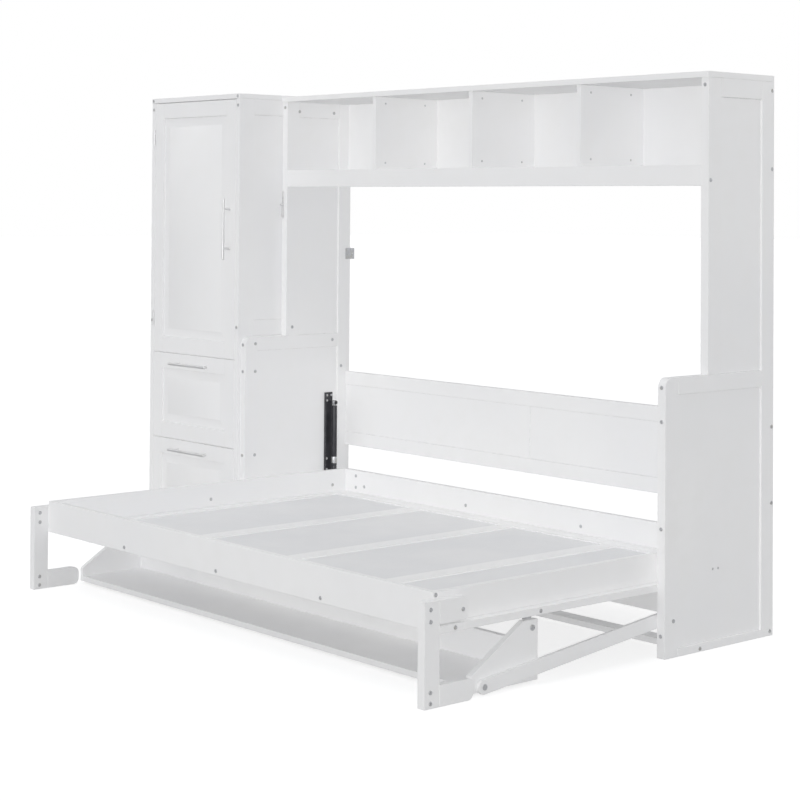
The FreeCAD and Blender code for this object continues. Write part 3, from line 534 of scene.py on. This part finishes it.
def wardrobe_sides():
    """The wardrobe's sides: two stiles, three rails and two sunk fields each."""
    node = "wardrobe_sides"
    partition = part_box("wardrobe_partition")[1].z
    for side, solid in zip(PAIR, solids(node)):
        low, high = reach_of(solid)
        solid.free()
        inner = (low.y + CASE_STILE, high.y - CASE_STILE)
        rails = {
            "foot": (0.0, CASE_FOOT_RAIL),
            "mid": (partition + CASE_MID_RAIL[0], partition + CASE_MID_RAIL[1]),
            "head": (high.z - CASE_HEAD_RAIL, high.z),
        }

        def part(name, y, z, sunk=0.0):
            # Sunk fields take the paint with painted shade along their joints.
            look = "field_paint_joint_shade" if sunk else None
            ends = ((low.x + sunk, y[0], z[0]), (high.x - sunk, y[1], z[1]))
            board(f"{node}_{side}_{name}", node, *ends, look=look)

        part("front_stile", (low.y, inner[0]), (0.0, high.z))
        part("back_stile", (inner[1], high.y), (0.0, high.z))
        for name, z in rails.items():
            part(f"{name}_rail", inner, z)
        part("lower_field", inner, (rails["foot"][1], rails["mid"][0]), CASE_RECESS)
        part("upper_field", inner, (rails["mid"][1], rails["head"][0]), CASE_RECESS)


def raised_field(name, node, low, high):
    """A field whose middle rises a little inside a sloping border."""
    bm = bmesh.new()
    rows = []
    for y, inset in (
        (low.y, 0.0),
        (low.y, RAISED_BORDER - RAISED_SLOPE),
        (low.y - RAISED_STEP, RAISED_BORDER),
    ):
        corners = [
            (low.x + inset, low.z + inset),
            (high.x - inset, low.z + inset),
            (high.x - inset, high.z - inset),
            (low.x + inset, high.z - inset),
        ]
        rows.append([bm.verts.new((x, y, z)) for x, z in corners])
    back = [bm.verts.new((vert.co.x, high.y, vert.co.z)) for vert in rows[0]]
    for near, far in ((back, rows[0]), (rows[0], rows[1]), (rows[1], rows[2])):
        for i in range(4):
            j = (i + 1) % 4
            bm.faces.new((near[i], near[j], far[j], far[i]))
    bm.faces.new(rows[2])
    bm.faces.new(back)
    # The raised field takes the paint with painted shade along its joints.
    show(name, bm, node, JOINT_EDGE, look="field_paint_joint_shade")


def framed_front(node):
    """A door or drawer front: two stiles, two rails and a raised field."""
    low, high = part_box(node)
    inner_x = (low.x + STILE, high.x - STILE)
    inner_z = (low.z + BOTTOM_RAIL, high.z - TOP_RAIL)
    boards = {
        "left_stile": ((low.x, inner_x[0]), (low.z, high.z)),
        "right_stile": ((inner_x[1], high.x), (low.z, high.z)),
        "bottom_rail": (inner_x, (low.z, inner_z[0])),
        "top_rail": (inner_x, (inner_z[1], high.z)),
    }
    for name, (x, z) in boards.items():
        board(f"{node}_{name}", node, (x[0], low.y, z[0]), (x[1], high.y, z[1]))
    field_low = Vector((inner_x[0], low.y + RECESS, inner_z[0]))
    field_high = Vector((inner_x[1], high.y - FIELD_BACK, inner_z[1]))
    raised_field(f"{node}_field", node, field_low, field_high)


def bed_panel():
    """The tray's floor: long rails, cross rails and four sunk fields."""
    node = "bed_face_panel"
    low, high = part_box(node)
    left, right = (reach_of(solid) for solid in solids("bed_side_rails"))
    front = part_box("bed_front_rail")[1].y
    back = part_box("bed_back_rail")[0].y
    inner = (left[1].x, right[0].x)
    width = (inner[1] - inner[0] - 2 * BED_EDGE - 3 * BED_STILE) / 4
    y = (front + BED_STILE, back - BED_STILE)
    z = (low.z, high.z)
    notch = [
        (low.x, low.y),
        (left[0].x, low.y),
        (left[0].x, front),
        (right[1].x, front),
        (right[1].x, low.y),
        (high.x, low.y),
        (high.x, y[0]),
        (low.x, y[0]),
    ]
    bm = bmesh.new()
    prism(bm, notch, 2, *z)
    show(f"{node}_front_rail", bm, node, JOINT_EDGE)
    board(f"{node}_back_rail", node, (low.x, y[1], z[0]), (high.x, high.y, z[1]))
    starts = [inner[0] + BED_EDGE + number * (width + BED_STILE) for number in range(4)]
    stops = [start + width for start in starts]
    for number, x in enumerate(zip([low.x, *stops], [*starts, high.x])):
        board(f"{node}_cross_rail_{number + 1}", node, (x[0], y[0], z[0]), (x[1], y[1], z[1]))
    for number, x in enumerate(zip(starts, stops)):
        field = ((x[0], y[0], z[0] + BED_RECESS), (x[1], y[1], z[1] - BED_RECESS))
        # The fields take the greyer laminate as painted shade on the tray's floor.
        board(f"{node}_field_{number + 1}", node, *field, slot="inner_board")


# ---------------------------------------------------------------- fasteners and fittings


def fasteners(node):
    """Screws and bolts: a head wherever a solid has one, facing out of its board."""
    left_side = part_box("side_panel_left")[1].x
    for number, solid in enumerate(solids(node)):
        low, high = reach_of(solid)
        size = high - low
        axis = min(range(3), key=lambda i: abs(size[(i + 1) % 3] - size[(i + 2) % 3]))
        radius = size[(axis + 1) % 3] / 2
        centre = (low + high) / 2
        bm = bmesh.new()
        name = f"{node}_{number + 1:02d}"
        if radius > STUD_OVER:
            stud(bm, low, high, axis, radius)
            show(name, bm, node)
            solid.free()
            continue
        for end, sign in ((low[axis], -1), (high[axis], 1)):
            wide = reach_near(solid, axis, end)
            lone = size[axis] < LONE_DISC
            faces_left = centre.x < left_side
            if wide < 0.8 * radius or (lone and faces_left != (sign < 0)):
                continue
            tall = size[axis] if lone else HEAD_TALL
            at = centre.copy()
            at[axis] = end - sign * tall
            direction = Vector((0, 0, 0))
            direction[axis] = sign
            bolt_head(bm, at, direction, radius, tall, "cross" if lone else "hex")
        show(name, bm, node)
        solid.free()


def reach_near(solid, axis, end):
    """The widest radius that a solid has at one of its ends."""
    low, high = reach_of(solid)
    centre = (low + high) / 2
    across = [i for i in range(3) if i != axis]
    spots = [vert.co for vert in solid.verts if abs(vert.co[axis] - end) < 1e-4]
    return max(math.hypot(*(spot[i] - centre[i] for i in across)) for spot in spots)


def stud(bm, low, high, axis, radius):
    """Add a shouldered stud between two ends of a solid."""
    start = (low + high) / 2
    start[axis] = low[axis]
    long = high[axis] - low[axis]
    direction = Vector((0, 0, 0))
    direction[axis] = 1
    waist = 0.72 * radius
    profile = [
        (0.0, 0.86 * radius),
        (0.06 * long, radius),
        (0.28 * long, radius),
        (0.32 * long, waist),
        (0.62 * long, waist),
        (0.66 * long, radius),
        (long, radius),
    ]
    lathe(bm, start, direction, profile)


def bar_handle(node, axis):
    """A brushed bar with rounded ends on two posts, each with a collar at the door."""
    low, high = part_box(node)
    radius = BAR_ROUND
    bar_y = low.y + radius
    centre = (low + high) / 2
    start = Vector((centre.x, bar_y, centre.z))
    start[axis] = low[axis]
    long = high[axis] - low[axis]
    direction = Vector((0, 0, 0))
    direction[axis] = 1
    lip = 0.0012
    bm = bmesh.new()
    profile = [(0.0, radius - 2 * lip), (0.4 * lip, radius - lip), (1.4 * lip, radius)]
    profile += [(long - distance, reach) for distance, reach in reversed(profile)]
    lathe(bm, start, direction, profile)
    show(f"{node}_bar", bm, node)
    spread = DOOR_POSTS if axis == 2 else DRAWER_POSTS
    for name, sign in (("first", -1), ("second", 1)):
        at = Vector((centre.x, high.y, centre.z))
        at[axis] += sign * spread
        reach = high.y - bar_y
        bm = bmesh.new()
        profile = [(0.0, 0.0072), (0.0016, 0.0072), (0.0026, 0.0062), (0.0030, 0.0048), (reach, 0.0048)]
        lathe(bm, at, (0, -1, 0), profile)
        show(f"{node}_{name}_post", bm, node)


def hinges():
    """Butt hinges: leaves, split knuckles and the pin that they turn on."""
    pin_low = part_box("door_hinges_fixed")[0]
    for node, fixed in (("door_hinges_fixed", True), ("door_hinges_moving", False)):
        parts = sorted(solids(node), key=lambda part: reach_of(part)[0].z)
        for name, solid in zip(("lower", "upper"), parts):
            low, high = reach_of(solid)
            solid.free()
            tall = high.z - low.z
            knuckle = tall / 2 - HINGE_SLOT if fixed else tall
            at = Vector((pin_low.x + KNUCKLE, low.y + KNUCKLE, low.z))
            soft = KNUCKLE - HINGE_GAP
            profile = [
                (0.0, 0.6 * KNUCKLE),
                (HINGE_GAP, soft),
                (2 * HINGE_GAP, KNUCKLE),
                (knuckle / 2 - HINGE_GAP, KNUCKLE),
                (knuckle / 2, soft),
                (knuckle / 2 + HINGE_GAP, KNUCKLE),
                (knuckle - 2 * HINGE_GAP, KNUCKLE),
                (knuckle - HINGE_GAP, soft),
                (knuckle, 0.6 * KNUCKLE),
            ]
            bm = bmesh.new()
            lathe(bm, at, (0, 0, 1), profile)
            if fixed:
                pin = [(0.0, HINGE_PIN), (tall - knuckle, HINGE_PIN)]
                lathe(bm, at + Vector((0, 0, knuckle)), (0, 0, 1), pin)
            near = at.x + (-HINGE_GAP - HINGE_LEAF if fixed else HINGE_GAP)
            block(bm, (near, at.y, low.z), (near + HINGE_LEAF, high.y, low.z + knuckle))
            show(f"{node}_{name}", bm, node)


def struts():
    """Gas struts: a black tube with a rolled neck and a steel band, a chrome rod, and bright eyes."""
    for side in PAIR:
        node = f"strut_tube_{side}"
        low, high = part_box(node)
        x, y = (low.x + high.x) / 2, (low.y + high.y) / 2
        long = high.z - low.z - 2 * TUBE_EYE - 0.002
        foot = [(0.0, 0.0062), (0.0, 0.0092), (0.002, 0.0106), (0.004, 0.011), (0.016, 0.011)]
        groove = [(0.0175, 0.0102), (0.0195, 0.0102), (0.021, 0.011)]
        neck = [(long - 0.004, 0.011), (long - 0.001, 0.0098), (long, 0.0075), (long, 0.0062)]
        bm = bmesh.new()
        lathe(bm, (x, y, low.z), (0, 0, 1), foot + groove + neck, ring=True)
        show(f"{node}_body", bm, node)
        bm = bmesh.new()
        band = [
            (0.0, 0.01105),
            (0.0, 0.0114),
            (0.0006, 0.0116),
            (0.0254, 0.0116),
            (0.026, 0.0114),
            (0.026, 0.01105),
        ]
        lathe(bm, (x, y, low.z + 0.030), (0, 0, 1), band, ring=True)
        show(f"{node}_band", bm, node, slot="zinc_screws")
        bm = bmesh.new()
        shank = [(0.0, 0.006), (0.006, 0.006), (0.007, 0.0066), (0.009, 0.0066), (0.0095, 0.006)]
        lathe(bm, (x, y, low.z + long - 0.001), (0, 0, 1), shank)
        eye_ring(bm, (x, y, high.z - TUBE_EYE), TUBE_EYE)
        show(f"{node}_eye", bm, node, slot="zinc_screws")
        node = f"strut_rod_{side}"
        low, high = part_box(node)
        top = high.z - low.z - ROD_EYE
        shaft = [(0.006, 0.0062), (0.013, 0.0062), (0.014, 0.005), (top - 0.010, 0.005)]
        piston = [(top - 0.0098, 0.0085), (top - 0.0005, 0.0085), (top, 0.008)]
        bm = bmesh.new()
        lathe(bm, (x, y, low.z + ROD_EYE), (0, 0, 1), shaft + piston)
        eye_ring(bm, (x, y, low.z + ROD_EYE), ROD_EYE)
        show(f"{node}_shaft", bm, node)


def eye_ring(bm, at, radius):
    """Add an eye that lies across X, with a hole for its pin."""
    half, hole, soft = 0.006, 0.0051, 0.001
    profile = [
        (-half, hole),
        (-half, radius - soft),
        (soft - half, radius),
        (half - soft, radius),
        (half, radius - soft),
        (half, hole),
    ]
    lathe(bm, at, (1, 0, 0), profile, ring=True)


def strut_plates():
    """Pressed steel plates behind the struts: a folded edge, the top pin with its nut, and screws."""
    node = "strut_plates"
    nut_tall = 0.0045
    for side, solid in zip(PAIR, solids(node)):
        low, high = reach_of(solid)
        inward, wall, end = (1, low.x, high.x) if side == "left" else (-1, high.x, low.x)
        face = wall + inward * PLATE_STEEL
        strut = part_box(f"strut_tube_{side}")
        nut = (end - inward * nut_tall, (strut[0].y + strut[1].y) / 2, strut[1].z - TUBE_EYE)
        spots = [(low.y + 0.012, z) for z in (high.z - 0.012, high.z - 0.034, low.z + 0.060, low.z + 0.016)]
        spots.append((high.y - 0.010, high.z - 0.012))
        show(f"{node}_{side}_channel", solid, node, STEEL_EDGE)
        bm = bmesh.new()
        for y, z in spots:
            bolt_head(bm, (face, y, z), (inward, 0, 0), 0.0048, 0.0026, "cross")
        bolt_head(bm, nut, (inward, 0, 0), 0.0084, nut_tall)
        show(f"{node}_{side}_screws", bm, node, slot="zinc_screws")


def latch():
    """The turn latch: a blade with a knob on a steel strip, a pivot screw and a stop."""
    dress("latch_left", STEEL_EDGE)
    dress("latch_mount", STEEL_EDGE)
    low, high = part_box("latch_mount")
    bm = bmesh.new()
    for z in (high.z - 0.028, high.z - 0.044):
        bolt_head(bm, ((low.x + high.x) / 2, high.y - 0.002, z), (0, -1, 0), 0.0032, 0.0012, "cross")
    show("latch_mount_screws", bm, "latch_mount", slot="zinc_screws")


def drawer_boxes():
    """Drawer boxes: four walls and a floor, each its own board."""
    for which in ("upper", "lower"):
        node = f"drawer_{which}_box"
        low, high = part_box(node)
        x = (low.x + BOX_WALL, high.x - BOX_WALL)
        y = (low.y + BOX_WALL, high.y - BOX_WALL)
        walls = {
            "floor": ((x[0], y[0], low.z), (x[1], y[1], low.z + BOX_FLOOR)),
            "left": (low, (x[0], high.y, high.z)),
            "right": ((x[1], low.y, low.z), high),
            "front": ((x[0], low.y, low.z), (x[1], y[0], high.z)),
            "back": ((x[0], y[1], low.z), (x[1], high.y, high.z)),
        }
        for name, ends in walls.items():
            board(f"{node}_{name}", node, *ends)


def runners():
    """Drawer runners: a channel rail with a lip along each edge and three screws."""
    node = "drawer_runners"
    lip, turned = 0.0022, 0.008
    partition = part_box("wardrobe_partition")[0]
    for number, solid in enumerate(solids(node)):
        low, high = reach_of(solid)
        solid.free()
        on_left = low.x < partition.x + 0.1
        outer, inner, way = (low.x, high.x, 1) if on_left else (high.x, low.x, -1)
        outline = [
            (outer, low.z),
            (inner, low.z),
            (inner, low.z + turned),
            (inner - way * lip, low.z + turned),
            (inner - way * lip, low.z + lip),
            (outer + way * lip, low.z + lip),
            (outer + way * lip, high.z - lip),
            (inner - way * lip, high.z - lip),
            (inner - way * lip, high.z - turned),
            (inner, high.z - turned),
            (inner, high.z),
            (outer, high.z),
        ]
        bm = bmesh.new()
        prism(bm, outline, 1, low.y, high.y)
        for y in (low.y + 0.05, (low.y + high.y) / 2, high.y - 0.05):
            at = (outer + way * lip, y, (low.z + high.z) / 2)
            bolt_head(bm, at, (way, 0, 0), 0.0045, 0.002, "cross")
        show(f"{node}_{number + 1}", bm, node)


def hanging_rail():
    """The wardrobe's hanging tube with a flanged cup at each end."""
    node = "wardrobe_hanging_rail"
    low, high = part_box(node)
    y, z = (low.y + high.y) / 2, (low.z + high.z) / 2
    long = high.x - low.x
    tube = [(0.0, 0.011), (0.0, 0.0125), (long, 0.0125), (long, 0.011)]
    bm = bmesh.new()
    lathe(bm, (low.x, y, z), (1, 0, 0), tube, ring=True)
    for x, way in ((low.x, 1), (high.x, -1)):
        cup = [(0.0, 0.0126), (0.0, 0.024), (0.002, 0.024), (0.003, 0.016), (0.014, 0.015), (0.014, 0.0126)]
        lathe(bm, (x, y, z), (way, 0, 0), cup, ring=True)
    show(f"{node}_tube", bm, node)


# ---------------------------------------------------------------- the whole object

side_panels()
wardrobe_sides()
for front in ("door_panel", "drawer_upper_front", "drawer_lower_front"):
    framed_front(front)
bed_panel()

plain_boards = (
    "shelf_top", "shelf_floor", "shelf_apron", "shelf_back",
    "back_board_top_rail", "back_board_bottom_rail", "floor_stretcher_front", "floor_stretcher_rear",
    "bed_front_rail", "bed_back_rail", "desk_board", "desk_back_rail", "link_left", "link_right",
    "wardrobe_top", "wardrobe_back", "wardrobe_base", "wardrobe_partition", "wardrobe_drawer_rail",
    "wardrobe_plinth", "wardrobe_shelf",
)
for node in plain_boards:
    dress(node)
# The back board's panels take the paint with painted shade along their joints.
dress("back_board_panels", names=PAIR, look="field_paint_joint_shade")
for node in ("bed_side_rails", "leg_posts", "leg_upper_arms", "leg_foot_arms", "desk_cheeks"):
    dress(node, names=PAIR)
dress("shelf_dividers")
steel_pairs = (
    "wall_brackets", "pivot_bushes", "bed_pivot_pins", "desk_hangers", "link_desk_bolts", "link_panel_bolts",
)
for node in steel_pairs:
    dress(node, STEEL_EDGE, PAIR)

fasteners("case_screws")
fasteners("bed_fasteners")
bar_handle("door_handle", 2)
bar_handle("drawer_upper_handle", 0)
bar_handle("drawer_lower_handle", 0)
hinges()
struts()
strut_plates()
latch()
drawer_boxes()
runners()
hanging_rail()


# ---------------------------------------------------------------- floor, light and camera


def floor():
    """A wide pale floor."""
    bm = bmesh.new()
    half = 60.0
    corners = [(-half, -half), (half, -half), (half, half), (-half, half)]
    bm.faces.new([bm.verts.new((x, y, -0.0005)) for x, y in corners])
    mesh = bpy.data.meshes.new("floor")
    bm.to_mesh(mesh)
    bm.free()
    look = Look("floor", Roughness=0.9, Specular_IOR_Level=0.1)
    look.set("Base Color", look.mix(look.noise(0.8), (0.54, 0.54, 0.54), (0.56, 0.56, 0.56)))
    look.shader.inputs["Emission Color"].default_value = (1.0, 1.0, 1.0, 1.0)
    seen = look.nodes.new("ShaderNodeLightPath").outputs["Is Camera Ray"]
    look.set("Emission Strength", look.span(seen, 0.0, 1.0, 0.0, 0.57))
    mesh.materials.append(look.material)
    plane = bpy.data.objects.new("floor", mesh)
    bpy.context.scene.collection.objects.link(plane)


def sky(strength, backdrop):
    """Even white light from all round, in front of a white backdrop."""
    world = bpy.data.worlds.new("studio")
    world.use_nodes = True
    nodes, links = world.node_tree.nodes, world.node_tree.links
    light = nodes["Background"]
    light.inputs["Color"].default_value = (0.97, 0.98, 1.0, 1.0)
    light.inputs["Strength"].default_value = strength
    seen = nodes.new("ShaderNodeBackground")
    seen.inputs["Color"].default_value = (1.0, 1.0, 1.0, 1.0)
    seen.inputs["Strength"].default_value = backdrop
    path = nodes.new("ShaderNodeLightPath")
    mix = nodes.new("ShaderNodeMixShader")
    links.new(path.outputs["Is Camera Ray"], mix.inputs[0])
    links.new(light.outputs["Background"], mix.inputs[1])
    links.new(seen.outputs["Background"], mix.inputs[2])
    links.new(mix.outputs["Shader"], nodes["World Output"].inputs["Surface"])
    bpy.context.scene.world = world


def lamp(name, source, strength, spread, shadow):
    """A broad soft light from one direction, over the whole floor; a fill casts no shadow."""
    light = bpy.data.lights.new(name, "SUN")
    light.energy = strength
    light.angle = math.radians(spread)
    light.use_shadow = shadow
    item = bpy.data.objects.new(name, light)
    item.rotation_euler = Vector(source).to_track_quat("Z", "Y").to_euler()
    bpy.context.scene.collection.objects.link(item)


def camera():
    """The view from the front right of the bed, almost level, so that the verticals stay upright."""
    turn, tilt, roll = (math.radians(angle) for angle in (48.97, 1.05, 0.38))
    data = bpy.data.cameras.new("camera")
    data.sensor_width = 36.0
    data.lens = 85.23
    data.shift_y = -0.289125
    data.clip_end = 200.0
    eye = bpy.data.objects.new("camera", data)
    aim = Matrix.Rotation(turn, 4, "Z") @ Matrix.Rotation(math.pi / 2 + tilt, 4, "X")
    place = Matrix.Translation((5.3643, -4.3086, 1.4181))
    eye.matrix_world = place @ aim @ Matrix.Rotation(roll, 4, "Z")
    bpy.context.scene.collection.objects.link(eye)
    bpy.context.scene.camera = eye


floor()
sky(0.45, 1.0)
lamp("overhead", (-0.10, -0.25, 0.96), 0.44, 50.0, True)
lamp("top_fill", (0.0, 0.0, 1.0), 0.24, 40.0, False)
lamp("front_fill", (0.54, -0.81, 0.22), 1.52, 40.0, False)
lamp("side_fill", (-0.97, -0.05, 0.20), 0.80, 40.0, False)
lamp("back_fill", (0.30, 0.93, 0.20), 0.80, 40.0, False)
camera()
bpy.context.scene.view_settings.view_transform = "Standard"
bpy.context.view_layer.update()
